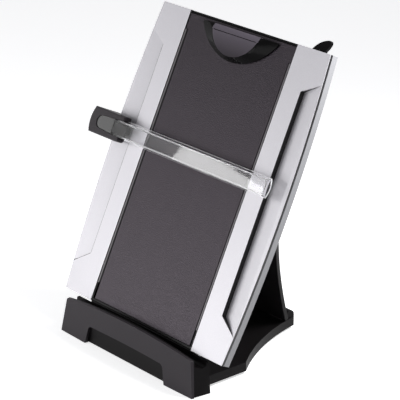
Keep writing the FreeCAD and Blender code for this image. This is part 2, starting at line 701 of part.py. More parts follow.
def make_carrier_tongue():
    """Round-ended tongue that the bar's channel rides on, with its grip slot."""
    half = BAR_FACE_HALF - BAR_TAPER - BAR_WALL - 0.4
    low = GUIDE_Y - half
    high = GUIDE_Y + half
    left = BAR_LEFT + 8.0
    right = CARRIER_RIGHT + 6.0
    z0 = BAR_RIM - BAR_PLAY
    z1 = BAR_FACE - BAR_WALL - 0.25
    outline = Part.Wire([
        line_edge((left + half, low, z0), (right - half, low, z0)),
        arc_edge((right - half, low, z0), (right, GUIDE_Y, z0), (right - half, high, z0)),
        line_edge((right - half, high, z0), (left + half, high, z0)),
        arc_edge((left + half, high, z0), (left, GUIDE_Y, z0), (left + half, low, z0)),
    ])
    tongue = Part.Face(outline).extrude(Vector(0, 0, z1 - z0))
    return tongue.cut(box(-137.0, -128.5, low + 1.2, high - 1.2, z1 - 2.6, z1 + PAST))


def make_carrier_jaw():
    """Rear jaw: a plate across the carrier's back that reaches behind the panel."""
    low = GUIDE_Y - CARRIER_HALF_HEIGHT
    high = GUIDE_Y + CARRIER_HALF_HEIGHT
    round_x = JAW_TIP_X - 8.0
    outline = Part.Wire([
        line_edge((CARRIER_LEFT, low, JAW_BACK), (round_x, low, JAW_BACK)),
        arc_edge((round_x, low, JAW_BACK), (JAW_TIP_X, GUIDE_Y, JAW_BACK), (round_x, high, JAW_BACK)),
        line_edge((round_x, high, JAW_BACK), (CARRIER_LEFT, high, JAW_BACK)),
        arc_edge((CARRIER_LEFT, high, JAW_BACK), (CARRIER_LEFT - CARRIER_BULGE, GUIDE_Y, JAW_BACK),
                 (CARRIER_LEFT, low, JAW_BACK)),
    ])
    jaw = Part.Face(outline).extrude(Vector(0, 0, JAW_FACE - JAW_BACK))
    for y in carrier_screw_places():
        jaw = jaw.cut(screw_hole(CARRIER_SCREW_X, y, JAW_BACK, JAW_FACE + PAST, CARRIER_SCREW))
    return jaw


def make_carrier_screws():
    return Part.makeCompound([
        sunk_screw(CARRIER_SCREW_X, y, JAW_BACK, -5.0, CARRIER_SCREW)
        for y in carrier_screw_places()
    ])


def make_carrier_pad():
    """Felt strip inside the front block that rubs on the wing and holds the carrier's place."""
    return box(-126.5, -121.5, GUIDE_Y - 9.0, GUIDE_Y + 9.0, CARRIER_UNDER - 1.7, CARRIER_UNDER)


def base_outline(inset, z):
    """Base seen from above: straight sides, then concave sides that run in to a narrow rear."""
    half = BASE_HALF - inset
    rear_half = BASE_REAR_HALF - inset
    rear = BASE_REAR_Y - inset
    front = BASE_FRONT_Y + inset
    start = Vector(half, BASE_WAIST_START_Y - inset * 0.4, z)
    end = Vector(rear_half, rear, z)
    chord = end - start
    inward = Vector(-chord.y, chord.x, 0)
    inward.normalize()
    middle = (start + end) * 0.5 + inward * BASE_WAIST_SAG
    mirror_middle = Vector(-middle.x, middle.y, z)
    edges = [
        line_edge((-half, front, z), (half, front, z)),
        line_edge((half, front, z), tuple(start)),
        Part.Arc(start, middle, end).toShape(),
        line_edge(tuple(end), (-rear_half, rear, z)),
        Part.Arc(Vector(-end.x, end.y, z), mirror_middle, Vector(-start.x, start.y, z)).toShape(),
        line_edge((-start.x, start.y, z), (-half, front, z)),
    ]
    return Part.Wire(edges)


def base_slab(inset, z0, z1):
    return Part.Face(base_outline(inset, z0)).extrude(Vector(0, 0, z1 - z0))


def foot_places():
    return [(-80.0, 36.0), (80.0, 36.0), (-34.0, 146.0), (34.0, 146.0)]


def make_base_tray():
    """Base moulding: open underneath, sunk deck, hinge posts and the rear barrel lip."""
    tray = base_slab(0, BASE_BOTTOM, BASE_RIM_TOP)
    tray = tray.cut(base_slab(WALL, BASE_BOTTOM - 1, BASE_DECK - 1.8))
    tray = tray.cut(base_slab(2.4, BASE_DECK, BASE_RIM_TOP + 1))
    inside = base_slab(1.0, BASE_BOTTOM + 0.6, BASE_DECK - 1.0)
    ribs = [box(x - 0.9, x + 0.9, 0, 170, BASE_BOTTOM + 0.6, BASE_DECK - 1) for x in (-60, -20, 20, 60)]
    ribs += [box(-110, 110, y - 0.9, y + 0.9, BASE_BOTTOM + 0.6, BASE_DECK - 1) for y in (30, 70, 110)]
    ribs = [rib.common(inside) for rib in ribs]
    seats = [box(x - 7.0, x + 7.0, y - 7.0, y + 7.0, BASE_BOTTOM, BASE_DECK - 1) for x, y in foot_places()]
    screw_rail = box(-52.0, 52.0, LEDGE_SCREW_Y - 3.4, LEDGE_SCREW_Y + 3.4, BASE_BOTTOM, BASE_DECK - 1)
    lips = both_sides(hinge_post(60.0, 68.0)) + both_sides(rear_barrel())
    tray = joined([tray] + ribs + seats + [screw_rail] + lips)
    swing = KNUCKLE_HALF + 0.4
    cutters = [
        rod_x(-swing, swing, LEG_AXIS_Y, LEG_AXIS_Z, KNUCKLE_RADIUS + 0.4),
        box(-swing, swing, LEG_AXIS_Y, BASE_REAR_Y + PAST, BASE_DECK, LIP_TOP),
        rod_x(-44.0, 44.0, LEG_AXIS_Y, LEG_AXIS_Z, ROD_RADIUS + ROD_FIT),
    ]
    cutters += both_sides(rod_x(48.0, 80.0, PANEL_AXIS_Y, PANEL_AXIS_Z, ROD_RADIUS + ROD_FIT))
    pilot = LEDGE_SCREW + PILOT_PLAY
    for x in LEDGE_SCREW_X:
        cutters.append(small_rod(x, LEDGE_SCREW_Y, BASE_BOTTOM - PAST, BASE_DECK - 2.2, pilot))
    for cutter in cutters:
        tray = tray.cut(cutter)
    return tray


def hinge_post(x0, x1):
    """Post that carries the panel's hinge rod, with a gusset behind it."""
    y = PANEL_AXIS_Y
    z = PANEL_AXIS_Z
    head = rod_x(x0, x1, y, z, BARREL_RADIUS)
    stem = prism_x([
        (y - 3.6, z - 2.6),
        (y - 4.4, BASE_DECK - 1),
        (y + 9.0, BASE_DECK - 1),
        (y + 3.6, z - 8.0),
        (y + 4.2, z - 1.6),
        (y, z),
    ], x0, x1)
    return head.fuse(stem)


def rear_barrel():
    """Right-hand part of the raised rear lip, round on top, that holds the leg's rod."""
    x0 = KNUCKLE_HALF + 0.4
    x1 = BASE_REAR_HALF
    radius = BASE_REAR_Y - LEG_AXIS_Y
    barrel = rod_x(x0, x1, LEG_AXIS_Y, LEG_AXIS_Z, radius)
    wall = box(x0, x1, LEG_AXIS_Y - 3.4, BASE_REAR_Y, BASE_DECK - 1, LEG_AXIS_Z)
    tail = prism_x([
        (LEG_AXIS_Y - 4.2, LEG_AXIS_Z + 2.6),
        (LEG_AXIS_Y - 7.0, BASE_RIM_TOP - 0.4),
        (LEG_AXIS_Y - 9.5, BASE_DECK - 0.5),
        (LEG_AXIS_Y, BASE_DECK - 0.5),
        (LEG_AXIS_Y, LEG_AXIS_Z),
    ], BASE_REAR_HALF - 2.4, BASE_REAR_HALF)
    return joined([barrel, wall, tail])


def leg_outline(inset, z):
    """Leg seen square on: narrow foot, concave sides, square shoulders with round corners."""
    foot = LEG_FOOT_HALF - inset
    shoulder = LEG_SHOULDER_HALF - inset
    low = LEG_START + inset
    top = LEG_LENGTH - inset
    round_off = LEG_LENGTH - LEG_SHOULDER_S
    chord_middle_x = (foot + shoulder) / 2 - LEG_SAG
    chord_middle_y = (low + LEG_SHOULDER_S) / 2
    corner = shoulder - round_off * 0.35
    bend_x = shoulder - 0.8
    bend_y = top - round_off * 0.28
    top_x = shoulder - round_off
    edges = [
        line_edge((-foot, low, z), (foot, low, z)),
        arc_edge((foot, low, z), (chord_middle_x, chord_middle_y, z), (shoulder, LEG_SHOULDER_S, z)),
        arc_edge((shoulder, LEG_SHOULDER_S, z), (corner, bend_y, z), (top_x, top, z)),
        line_edge((top_x, top, z), (-top_x, top, z)),
        arc_edge((-top_x, top, z), (-corner, bend_y, z), (-shoulder, LEG_SHOULDER_S, z)),
        arc_edge((-shoulder, LEG_SHOULDER_S, z), (-chord_middle_x, chord_middle_y, z), (-foot, low, z)),
    ]
    return Part.Wire(edges)


def make_leg():
    """Support leg: thin plate with a rim and ribs on its rear, and the hinge knuckle below."""
    plate = Part.Face(leg_outline(0, LEG_INNER)).extrude(Vector(0, 0, LEG_FACE - LEG_INNER))
    rim_face = Part.Face(leg_outline(0, LEG_INNER)).cut(Part.Face(leg_outline(2.2, LEG_INNER)))
    rim = rim_face.extrude(Vector(0, 0, -1.4))
    inside = Part.Face(leg_outline(1.0, LEG_INNER - 1.4)).extrude(Vector(0, 0, 2.0))
    ribs = [box(x - 0.9, x + 0.9, 0, LEG_LENGTH, LEG_INNER - 1.4, LEG_INNER + 0.5) for x in (-36, 36)]
    ribs += [box(-120, 120, y - 0.9, y + 0.9, LEG_INNER - 1.4, LEG_INNER + 0.5) for y in (50, 100)]
    ribs = [rib.common(inside) for rib in ribs]
    knuckle = rod_x(-KNUCKLE_HALF, KNUCKLE_HALF, 0, 0, KNUCKLE_RADIUS)
    web = prism_x([
        (-3.4, 3.4),
        (2.8, LEG_FACE),
        (16.0, LEG_FACE),
        (16.0, LEG_INNER - 1.4),
        (4.8, 0.4),
        (0, 0),
    ], -KNUCKLE_HALF, KNUCKLE_HALF)
    leg = joined([plate, rim, knuckle, web] + ribs)
    return leg.cut(rod_x(-60.0, 60.0, 0, 0, ROD_RADIUS + ROD_FIT))


def make_leg_pads():
    """Soft caps on the leg's top edge where it bears on the panel's back."""
    pads = []
    for x in (-58.0, 58.0):
        sleeve = box(x - 12.0, x + 12.0, LEG_LENGTH - 8.0, LEG_LENGTH + 0.9, LEG_INNER - 2.2, LEG_FACE + 0.3)
        edges = [e for e in sleeve.Edges if abs(e.Vertexes[0].Point.x - e.Vertexes[1].Point.x) > 20]
        sleeve = sleeve.makeChamfer(0.5, edges)
        slot = box(x - 13.0, x + 13.0, LEG_LENGTH - 9.0, LEG_LENGTH, LEG_INNER - 1.4, LEG_FACE)
        pads.append(sleeve.cut(slot))
    return Part.makeCompound(pads)


def ledge_wire(z, front_inset, end_inset):
    """Plan outline of the ledge at one height: bowed front, ends that lean in."""
    rise = z / LEDGE_TOP_Z
    front = LEDGE_FRONT_Y + LEDGE_LEAN_Y * rise + front_inset
    half = LEDGE_HALF - LEDGE_LEAN_X * rise - end_inset
    rear_half = LEDGE_REAR_HALF - LEDGE_REAR_LEAN_X * rise - end_inset
    return Part.Wire([
        arc_edge((-half, front, z), (0, front - LEDGE_BOW, z), (half, front, z)),
        line_edge((half, front, z), (rear_half, LEDGE_REAR_Y, z)),
        line_edge((rear_half, LEDGE_REAR_Y, z), (-rear_half, LEDGE_REAR_Y, z)),
        line_edge((-rear_half, LEDGE_REAR_Y, z), (-half, front, z)),
    ])


def leaned_block(front_inset, end_inset):
    low = ledge_wire(0, front_inset, end_inset)
    high = ledge_wire(LEDGE_TOP_Z, front_inset, end_inset)
    return Part.makeLoft([low, high], True, True)


def ledge_solid(front_inset, end_inset, top_cut):
    """Ledge body leaned and bowed, cut along an arched top."""
    solid = leaned_block(front_inset, end_inset)
    arch = Part.Wire([
        arc_edge((-LEDGE_HALF, -40, FASCIA_END_Z - 0.6 - top_cut), (0, -40, FASCIA_MID_Z - top_cut),
                 (LEDGE_HALF, -40, FASCIA_END_Z - 0.6 - top_cut)),
        line_edge((LEDGE_HALF, -40, FASCIA_END_Z - 0.6 - top_cut), (LEDGE_HALF + 9, -40, 60)),
        line_edge((LEDGE_HALF + 9, -40, 60), (-LEDGE_HALF - 9, -40, 60)),
        line_edge((-LEDGE_HALF - 9, -40, 60), (-LEDGE_HALF, -40, FASCIA_END_Z - 0.6 - top_cut)),
    ])
    return solid.cut(Part.Face(arch).extrude(Vector(0, 60, 0)))


def sunk_panel():
    """Space of the bare sunk panel in the ledge's front: arched on top, wider at the open foot."""
    front = LEDGE_FRONT_Y - 10 * PAST
    lean = (SUNK_FOOT_HALF - SUNK_TOP_HALF) / SUNK_SHOULDER_Z
    foot_x = SUNK_FOOT_HALF + lean * PAST
    side_z = SUNK_SHOULDER_Z - SUNK_CORNER
    side_x = SUNK_TOP_HALF + lean * SUNK_CORNER
    turn = SUNK_CORNER * (1 - math.sqrt(0.5))
    corner_x = SUNK_TOP_HALF - turn + lean * turn
    top_x = SUNK_TOP_HALF - SUNK_CORNER
    right = [(foot_x, -PAST), (side_x, side_z), (corner_x, SUNK_SHOULDER_Z - turn), (top_x, SUNK_SHOULDER_Z)]
    foot, side, corner, top = [(x, front, z) for x, z in right]
    left_foot, left_side, left_corner, left_top = [(-x, front, z) for x, z in right]
    outline = Part.Wire([
        line_edge(left_foot, foot),
        line_edge(foot, side),
        arc_edge(side, corner, top),
        arc_edge(top, (0, front, SUNK_CROWN_Z), left_top),
        arc_edge(left_top, left_corner, left_side),
        line_edge(left_side, left_foot),
    ])
    return Part.Face(outline).extrude(Vector(0, SUNK_FLOOR_Y - front, 0))


def make_ledge_fascia():
    """Bow-fronted fascia skin with the sunk panel's opening."""
    front = ledge_solid(0, 0, 0).cut(leaned_block(FASCIA_SKIN, -5))
    ends = [e for e in front.Edges if e.Length < 5 and e.Vertexes[0].Z > 30 and e.Vertexes[1].Z > 30]
    return front.makeFillet(2.6, ends).cut(sunk_panel())


def trough():
    """Space of the trough: a floor that falls to the rear and turns up into the rear wall."""
    x = -LEDGE_REAR_HALF - PAST
    section = Part.Wire([
        line_edge((x, -12.7, TRAY_FLOOR_FRONT), (x, -6.4, TRAY_FLOOR_LOW)),
        arc_edge((x, -6.4, TRAY_FLOOR_LOW), (x, -2.7, TRAY_FLOOR_LOW + 0.6), (x, -1.0, TRAY_FLOOR_LOW + 3.4)),
        line_edge((x, -1.0, TRAY_FLOOR_LOW + 3.4), (x, -1.0, LEDGE_TOP_Z)),
        line_edge((x, -1.0, LEDGE_TOP_Z), (x, -11.4, LEDGE_TOP_Z)),
        line_edge((x, -11.4, LEDGE_TOP_Z), (x, -12.7, TRAY_FLOOR_FRONT)),
    ])
    return Part.Face(section).extrude(Vector(-2 * x, 0, 0))


def rear_wall_round():
    """Waste outside the rounded right-hand end of the trough's rear wall."""
    end_x = LEDGE_REAR_HALF - LEDGE_REAR_LEAN_X * TRAY_REAR_TOP / LEDGE_TOP_Z - TRAY_END_INSET
    x = end_x - TRAY_REAR_ROUND
    z = TRAY_REAR_TOP - TRAY_REAR_ROUND
    rear_y = LEDGE_REAR_Y + PAST
    waste = box(x, end_x + PAST, -1.0, rear_y, z, TRAY_REAR_TOP + PAST)
    return waste.cut(Part.makeCylinder(TRAY_REAR_ROUND, 10.0, Vector(x, -5.0, z), Y_AXIS))


def make_ledge_tray():
    """Document ledge: trough for the sheets, open underneath, flange that rests on the desk."""
    wide = LEDGE_REAR_HALF + PAST
    outer = ledge_solid(FASCIA_SKIN, TRAY_END_INSET, 0.8)
    behind = box(-wide, wide, -1.0, LEDGE_REAR_Y + PAST, TRAY_REAR_TOP, LEDGE_TOP_Z + PAST)
    under = prism_x([
        (-15.6, -PAST),
        (-13.4, TRAY_FLOOR_FRONT - 2.0),
        (-5.4, TRAY_FLOOR_LOW - 2.0),
        (-1.4, TRAY_FLOOR_LOW - 0.6),
        (-1.4, -PAST),
    ], -wide, wide).common(leaned_block(FASCIA_SKIN, TRAY_END_INSET + WALL))
    webs = [box(x - 0.9, x + 0.9, -17.0, 0.0, 0.6, TRAY_FLOOR_FRONT) for x in (-66.0, -22.0, 22.0, 66.0)]
    webs = [web.common(under) for web in webs]
    flange = box(-90.0, 90.0, -3.0, 17.0, 0, BASE_BOTTOM - 0.4)
    body = outer
    for space in [trough(), behind, under] + both_sides(rear_wall_round()):
        body = body.cut(space)
    body = joined([body] + webs + [flange])
    for x in LEDGE_SCREW_X:
        body = body.cut(screw_hole(x, LEDGE_SCREW_Y, 0, BASE_BOTTOM + PAST, LEDGE_SCREW))
    return body.cut(sunk_panel())


def make_ledge_screws():
    return Part.makeCompound([
        sunk_screw(x, LEDGE_SCREW_Y, 0, 8.0, LEDGE_SCREW)
        for x in LEDGE_SCREW_X
    ])


def make_rubber_feet():
    """Four round pads that carry the base's rear and middle."""
    return Part.makeCompound([rod_z(x, y, 0, BASE_BOTTOM, 6.0) for x, y in foot_places()])


def make_panel_rods():
    rods = [rod_x(50.6, 77.4, PANEL_AXIS_Y, PANEL_AXIS_Z, ROD_RADIUS)]
    rods.append(mirrored(rods[0]))
    return Part.makeCompound(rods)


def make_leg_rod():
    return rod_x(-43.0, 43.0, LEG_AXIS_Y, LEG_AXIS_Z, ROD_RADIUS)


def build():
    right_wing = make_right_wing()
    board_rail = make_board_rail()
    nodes = {
        "base_tray": make_base_tray(),
        "ledge_tray": make_ledge_tray(),
        "ledge_fascia": make_ledge_fascia(),
        "ledge_screws": make_ledge_screws(),
        "rubber_feet": make_rubber_feet(),
        "panel_hinge_rods": make_panel_rods(),
        "leg_hinge_rod": make_leg_rod(),
        "support_leg": on_leg(make_leg()),
        "leg_tip_pads": on_leg(make_leg_pads()),
        "rear_shell": on_panel(make_rear_shell()),
        "core_frame": on_panel(make_core_frame()),
        "right_wing": on_panel(right_wing),
        "left_wing": on_panel(mirrored(right_wing)),
        "centre_board": on_panel(make_board()),
        "right_board_rail": on_panel(board_rail),
        "left_board_rail": on_panel(mirrored(board_rail)),
        "shell_screws": on_panel(make_shell_screws()),
        "rear_hook": on_panel(make_rear_hook()),
        "page_clip_mounts": on_panel(make_page_clip_mounts()),
        "page_clip_pin": on_panel(make_page_clip_pin()),
        "page_clip_spring": on_panel(make_page_clip_spring()),
        "page_clip": on_panel(make_page_clip()),
        "page_clip_pad": on_panel(make_page_clip_pad()),
        "carrier_body": on_panel(make_carrier_body()),
        "carrier_tongue": on_panel(make_carrier_tongue()),
        "carrier_jaw": on_panel(make_carrier_jaw()),
        "carrier_screws": on_panel(make_carrier_screws()),
        "carrier_pad": on_panel(make_carrier_pad()),
        "guide_bar": on_panel(make_guide_bar()),
    }
    os.makedirs("parts", exist_ok=True)
    for name, shape in nodes.items():
        shape.exportStep("parts/" + name + ".step")
        print(name, "solids", len(shape.Solids), "valid", shape.isValid(), "volume", round(shape.Volume, 1))


build()
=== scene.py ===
import math

import bpy
import bmesh
from mathutils import Matrix, Vector


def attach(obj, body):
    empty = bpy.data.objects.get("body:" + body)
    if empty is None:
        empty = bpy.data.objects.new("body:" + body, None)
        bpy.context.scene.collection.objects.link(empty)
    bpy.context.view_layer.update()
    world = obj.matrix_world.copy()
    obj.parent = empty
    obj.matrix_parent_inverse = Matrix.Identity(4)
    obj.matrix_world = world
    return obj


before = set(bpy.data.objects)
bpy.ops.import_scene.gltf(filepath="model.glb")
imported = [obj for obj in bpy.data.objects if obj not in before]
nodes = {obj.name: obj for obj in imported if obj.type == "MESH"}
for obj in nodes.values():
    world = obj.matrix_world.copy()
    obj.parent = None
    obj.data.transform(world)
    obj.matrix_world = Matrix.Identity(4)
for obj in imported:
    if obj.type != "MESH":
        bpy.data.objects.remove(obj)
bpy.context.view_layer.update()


# The studio: an upright camera at the photograph's angle, five soft lights in front and to the
# left, most of them low, so that the foot of the panel gets the most, a small one over the rear
# right that rims its edge, and a pale floor that fades into a white backdrop.
CAMERA_PLACE = Vector((1.44018, -1.13007, 0.87246))
CAMERA_TURN = 50.04
CAMERA_PITCH = 21.14
CAMERA_ROLL = -0.28
LENS_MM = 185.5
SENSOR_MM = 36
NEAREST_SEEN = 0.05
FARTHEST_SEEN = 40

camera_data = bpy.data.cameras.new("camera")
camera_data.sensor_width = SENSOR_MM
camera_data.lens = LENS_MM
camera_data.clip_start = NEAREST_SEEN
camera_data.clip_end = FARTHEST_SEEN
camera = bpy.data.objects.new("camera", camera_data)
camera.matrix_world = (
    Matrix.Translation(CAMERA_PLACE)
    @ Matrix.Rotation(math.radians(CAMERA_TURN), 4, "Z")
    @ Matrix.Rotation(math.radians(90 - CAMERA_PITCH), 4, "X")
    @ Matrix.Rotation(math.radians(CAMERA_ROLL), 4, "Z")
)
bpy.context.scene.collection.objects.link(camera)
bpy.context.scene.camera = camera
bpy.context.scene.view_settings.view_transform = "Standard"


def area_light(name, place, aim, size, watts):
    """A soft rectangular lamp at a place, turned to its aim and hidden from the camera."""
    data = bpy.data.lights.new(name, "AREA")
    data.shape = "RECTANGLE"
    data.size, data.size_y = size
    data.energy = watts
    lamp = bpy.data.objects.new(name, data)
    lamp.location = place
    toward = Vector(aim) - Vector(place)
    lamp.rotation_euler = toward.to_track_quat("-Z", "Y").to_euler()
    lamp.visible_camera = False
    bpy.context.scene.collection.objects.link(lamp)


area_light("front_softbox", place=(-0.81, -1.08, 0.30), aim=(0, 0, 0.15),
           size=(0.68, 0.6), watts=6.3)
area_light("left_softbox", place=(-1.137, -0.58, 0.32), aim=(0, 0, 0.12),
           size=(0.27, 0.5), watts=1.4)
area_light("high_softbox", place=(-0.60, -1.20, 0.72), aim=(0, 0, 0.15),
           size=(0.3, 0.35), watts=0.8)
area_light("fill_softbox", place=(-0.22, -1.45, 0.28), aim=(0, 0, 0.08),
           size=(0.6, 0.45), watts=2.7)
area_light("foot_softbox", place=(-0.55, -0.72, 0.08), aim=(0, 0, 0),
           size=(0.5, 0.16), watts=1.0)
area_light("rear_softbox", place=(0.33, 0.27, 0.50), aim=(0.12, 0.14, 0.30),
           size=(0.20, 0.20), watts=3.6)


def linear(hex_colour):
    """An sRGB hex colour as linear red, green, blue and full alpha."""
    channels = [int(hex_colour[i:i + 2], 16) / 255 for i in (1, 3, 5)]
    turned = [c / 12.92 if c <= 0.04045 else ((c + 0.055) / 1.055) ** 2.4 for c in channels]
    return (*turned, 1.0)


def add_node(tree, kind, settings=(), links=()):
    """Adds a shader node to a tree, sets its sockets and properties, and links its inputs."""
    node = tree.nodes.new(kind)
    for name, value in dict(settings).items():
        if isinstance(name, int) or name in node.inputs:
            node.inputs[name].default_value = value
        else:
            setattr(node, name, value)
    for name, source in dict(links).items():
        tree.links.new(source, node.inputs[name])
    return node


def seen_rays(tree):
    """1 for rays that see the backdrop: from the camera, off gloss and through clear plastic."""
    ray = add_node(tree, "ShaderNodeLightPath").outputs
    shiny = add_node(tree, "ShaderNodeMath", {"operation": "MAXIMUM"},
                     {0: ray["Is Glossy Ray"], 1: ray["Is Transmission Ray"]})
    return add_node(tree, "ShaderNodeMath", {"operation": "MAXIMUM"},
                    {0: ray["Is Camera Ray"], 1: shiny.outputs["Value"]}).outputs["Value"]


ROOM_LIGHT = 0.33
BACKDROP_GLOW = 1.0

white = bpy.data.worlds.new("white_studio")
white.use_nodes = True
bpy.context.scene.world = white
room = white.node_tree.nodes["Background"]
room.inputs["Color"].default_value = linear("#d5d6da")
room.inputs["Strength"].default_value = ROOM_LIGHT
backdrop = add_node(white.node_tree, "ShaderNodeBackground", {"Strength": BACKDROP_GLOW})
chooser = add_node(white.node_tree, "ShaderNodeMixShader", (), {
    "Fac": seen_rays(white.node_tree),
    1: room.outputs["Background"],
    2: backdrop.outputs["Background"]})
world_end = white.node_tree.nodes["World Output"]
white.node_tree.links.new(chooser.outputs["Shader"], world_end.inputs["Surface"])

FLOOR_HALF = 6.0
FLOOR_DROP = 0.0002
FLOOR_ROUGHNESS = 0.9
FLOOR_GLOW = 0.62

floor_mesh = bpy.data.meshes.new("floor")
floor_bm = bmesh.new()
bmesh.ops.create_grid(floor_bm, x_segments=1, y_segments=1, size=FLOOR_HALF)
floor_bm.to_mesh(floor_mesh)
floor_bm.free()
floor = bpy.data.objects.new("floor", floor_mesh)
bpy.context.scene.collection.objects.link(floor)
floor.location.z = -FLOOR_DROP
floor_paper = bpy.data.materials.new("white_paper_floor")
floor_paper.use_nodes = True
floor_shader = floor_paper.node_tree.nodes["Principled BSDF"]
floor_shader.inputs["Base Color"].default_value = linear("#fbfbfc")
floor_shader.inputs["Roughness"].default_value = FLOOR_ROUGHNESS
floor_shader.inputs["Emission Color"].default_value = linear("#ffffff")
glow = add_node(floor_paper.node_tree, "ShaderNodeMath", {"operation": "MULTIPLY", 1: FLOOR_GLOW},
                {0: seen_rays(floor_paper.node_tree)})
floor_paper.node_tree.links.new(glow.outputs["Value"], floor_shader.inputs["Emission Strength"])
floor_mesh.materials.append(floor_paper)


# The black mouldings - base tray, ledge tray, leg and the carrier's jaw and tongue - are
# unpainted black ABS from a spark-eroded tool: a fine matt grit that spreads its highlights,
# with corners rounded by a third of a millimetre, and the base tray's by 0.8.
MM_PER_METRE = 1000
WELD_DISTANCE = 0.00001
EDGE_SEGMENTS = 2
SHARP_ANGLE = math.radians(35)
FLAT_FACE_WEIGHT = 50


def new_material(name, **surface):
    """A material with a Principled surface set as given, and its object coordinates."""
    material = bpy.data.materials.new(name)
    material.use_nodes = True
    shader = material.node_tree.nodes["Principled BSDF"]
    for socket, value in surface.items():
        shader.inputs[socket.replace("_", " ")].default_value = value
    place = add_node(material.node_tree, "ShaderNodeTexCoord").outputs["Object"]
    return material, shader, place


def grain(material, shader, place, size_mm, depth_mm, strength, detail=2.0):
    """A noise bump whose lumps are size_mm across, joined to the surface's normal."""
    tree = material.node_tree
    lumps = add_node(tree, "ShaderNodeTexNoise",
                     {"Scale": MM_PER_METRE / size_mm, "Detail": detail}, {"Vector": place})
    bump = add_node(tree, "ShaderNodeBump",
                    {"Strength": strength, "Distance": depth_mm / MM_PER_METRE},
                    {"Height": lumps.outputs["Fac"]})
    tree.links.new(bump.outputs["Normal"], shader.inputs["Normal"])
    return lumps


def tint(material, shader, source, dark, light):
    """Blends the base colour from a dark tone to a light one along a noise or a mask."""
    tree = material.node_tree
    tone = add_node(tree, "ShaderNodeMix", {"data_type": "RGBA"}, {"Factor": source})
    tone.inputs["A"].default_value = linear(dark)
    tone.inputs["B"].default_value = linear(light)
    tree.links.new(tone.outputs["Result"], shader.inputs["Base Color"])
    return tone


def dress(material, *names, edge_mm=0.35):
    """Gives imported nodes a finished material, and rounds their sharp edges."""
    for name in names:
        for material_slot in nodes[name].material_slots:
            material_slot.material = material
        if edge_mm:
            weld = nodes[name].modifiers.new("join_corners", "WELD")
            weld.merge_threshold = WELD_DISTANCE
            edges = nodes[name].modifiers.new("soft_edges", "BEVEL")
            edges.width = edge_mm / MM_PER_METRE
            edges.segments = EDGE_SEGMENTS
            edges.profile = 0.5
            edges.limit_method = "ANGLE"
            edges.angle_limit = SHARP_ANGLE
            edges.harden_normals = True
            flats = nodes[name].modifiers.new("flat_faces", "WEIGHTED_NORMAL")
            flats.weight = FLAT_FACE_WEIGHT


# The real grit is finer, and is drawn as coarse as it needs to show. The specular level is
# kept low here and on most of the other blacks, because the white backdrop would veil them.
matt_black, black_shader, black_place = new_material(
    "spark_eroded_black_abs", Roughness=0.48, IOR=1.53, Specular_IOR_Level=0.06)
black_grit = grain(matt_black, black_shader, black_place,
                   size_mm=0.45, depth_mm=0.1, strength=0.35, detail=3.0)
tint(matt_black, black_shader, black_grit.outputs["Fac"], "#0c0b0c", "#171516")
dress(matt_black, "base_tray", edge_mm=0.8)
dress(matt_black, "ledge_tray", "support_leg", "carrier_jaw", "carrier_tongue")


# A rounded bead stands along the top of the ledge's rear wall, moulded with it in the same
# black ABS. It closes the gap under the foot of the panel without touching it.
BEAD_HALF = 0.0772
BEAD_MIDDLE = Vector((0.0, -0.0005, 0.0342))
BEAD_RADIUS = 0.0009
BEAD_STRETCH = 1.8
BEAD_SIDES = 16
BEAD_RIM = BEAD_RADIUS * 0.4
BEAD_RIM_SEGMENTS = 3

bead_bm = bmesh.new()
bmesh.ops.create_circle(bead_bm, cap_ends=True, radius=BEAD_RADIUS, segments=BEAD_SIDES)
bmesh.ops.scale(bead_bm, verts=bead_bm.verts, vec=(BEAD_STRETCH, 1.0, 1.0))
bmesh.ops.rotate(bead_bm, verts=bead_bm.verts, matrix=Matrix.Rotation(math.radians(90), 3, "Y"))
bmesh.ops.translate(bead_bm, verts=bead_bm.verts, vec=BEAD_MIDDLE - Vector((BEAD_HALF, 0, 0)))
bead_end = bmesh.ops.extrude_face_region(bead_bm, geom=list(bead_bm.faces))["geom"]
bead_tip = [part for part in bead_end if isinstance(part, bmesh.types.BMVert)]
bmesh.ops.translate(bead_bm, verts=bead_tip, vec=(2 * BEAD_HALF, 0, 0))
# Only the two caps have more than four corners.
bead_rims = [edge for edge in bead_bm.edges
             if any(len(face.verts) > 4 for face in edge.link_faces)]
bmesh.ops.bevel(bead_bm, geom=bead_rims, offset=BEAD_RIM, affect="EDGES",
                segments=BEAD_RIM_SEGMENTS, profile=0.5, material=-1)
bmesh.ops.recalc_face_normals(bead_bm, faces=bead_bm.faces)
for face in bead_bm.faces:
    face.smooth = len(face.verts) <= 4
bead_mesh = bpy.data.meshes.new("ledge_rear_bead")
bead_bm.to_mesh(bead_mesh)
bead_bm.free()
bead = bpy.data.objects.new("ledge_rear_bead", bead_mesh)
bpy.context.scene.collection.objects.link(bead)
bead_mesh.materials.append(matt_black)
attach(bead, "base")


# The ledge's fascia and the carrier's body are charcoal ABS from a finer satin tool, which
# picks up a soft highlight along bends and looks a little warm.
satin_black, satin_shader, satin_place = new_material(
    "satin_charcoal_abs", Roughness=0.40, IOR=1.53, Specular_IOR_Level=0.09)
satin_grit = grain(satin_black, satin_shader, satin_place,
                   size_mm=0.4, depth_mm=0.08, strength=0.22)
tint(satin_black, satin_shader, satin_grit.outputs["Fac"], "#2c292c", "#373337")
dress(satin_black, "ledge_fascia", "carrier_body", edge_mm=0.5)


# The rear shell is a moulded silver-grey ABS pan, left unpainted: a fine even texture that is
# dull beside the painted wings.
grey_abs, grey_shader, grey_place = new_material(
    "textured_silver_grey_abs", Roughness=0.5, IOR=1.53, Specular_IOR_Level=0.4)
grey_grit = grain(grey_abs, grey_shader, grey_place,
                  size_mm=0.45, depth_mm=0.1, strength=0.25, detail=3.0)
tint(grey_abs, grey_shader, grey_grit.outputs["Fac"], "#848487", "#919194")
dress(grey_abs, "rear_shell", edge_mm=0.6)


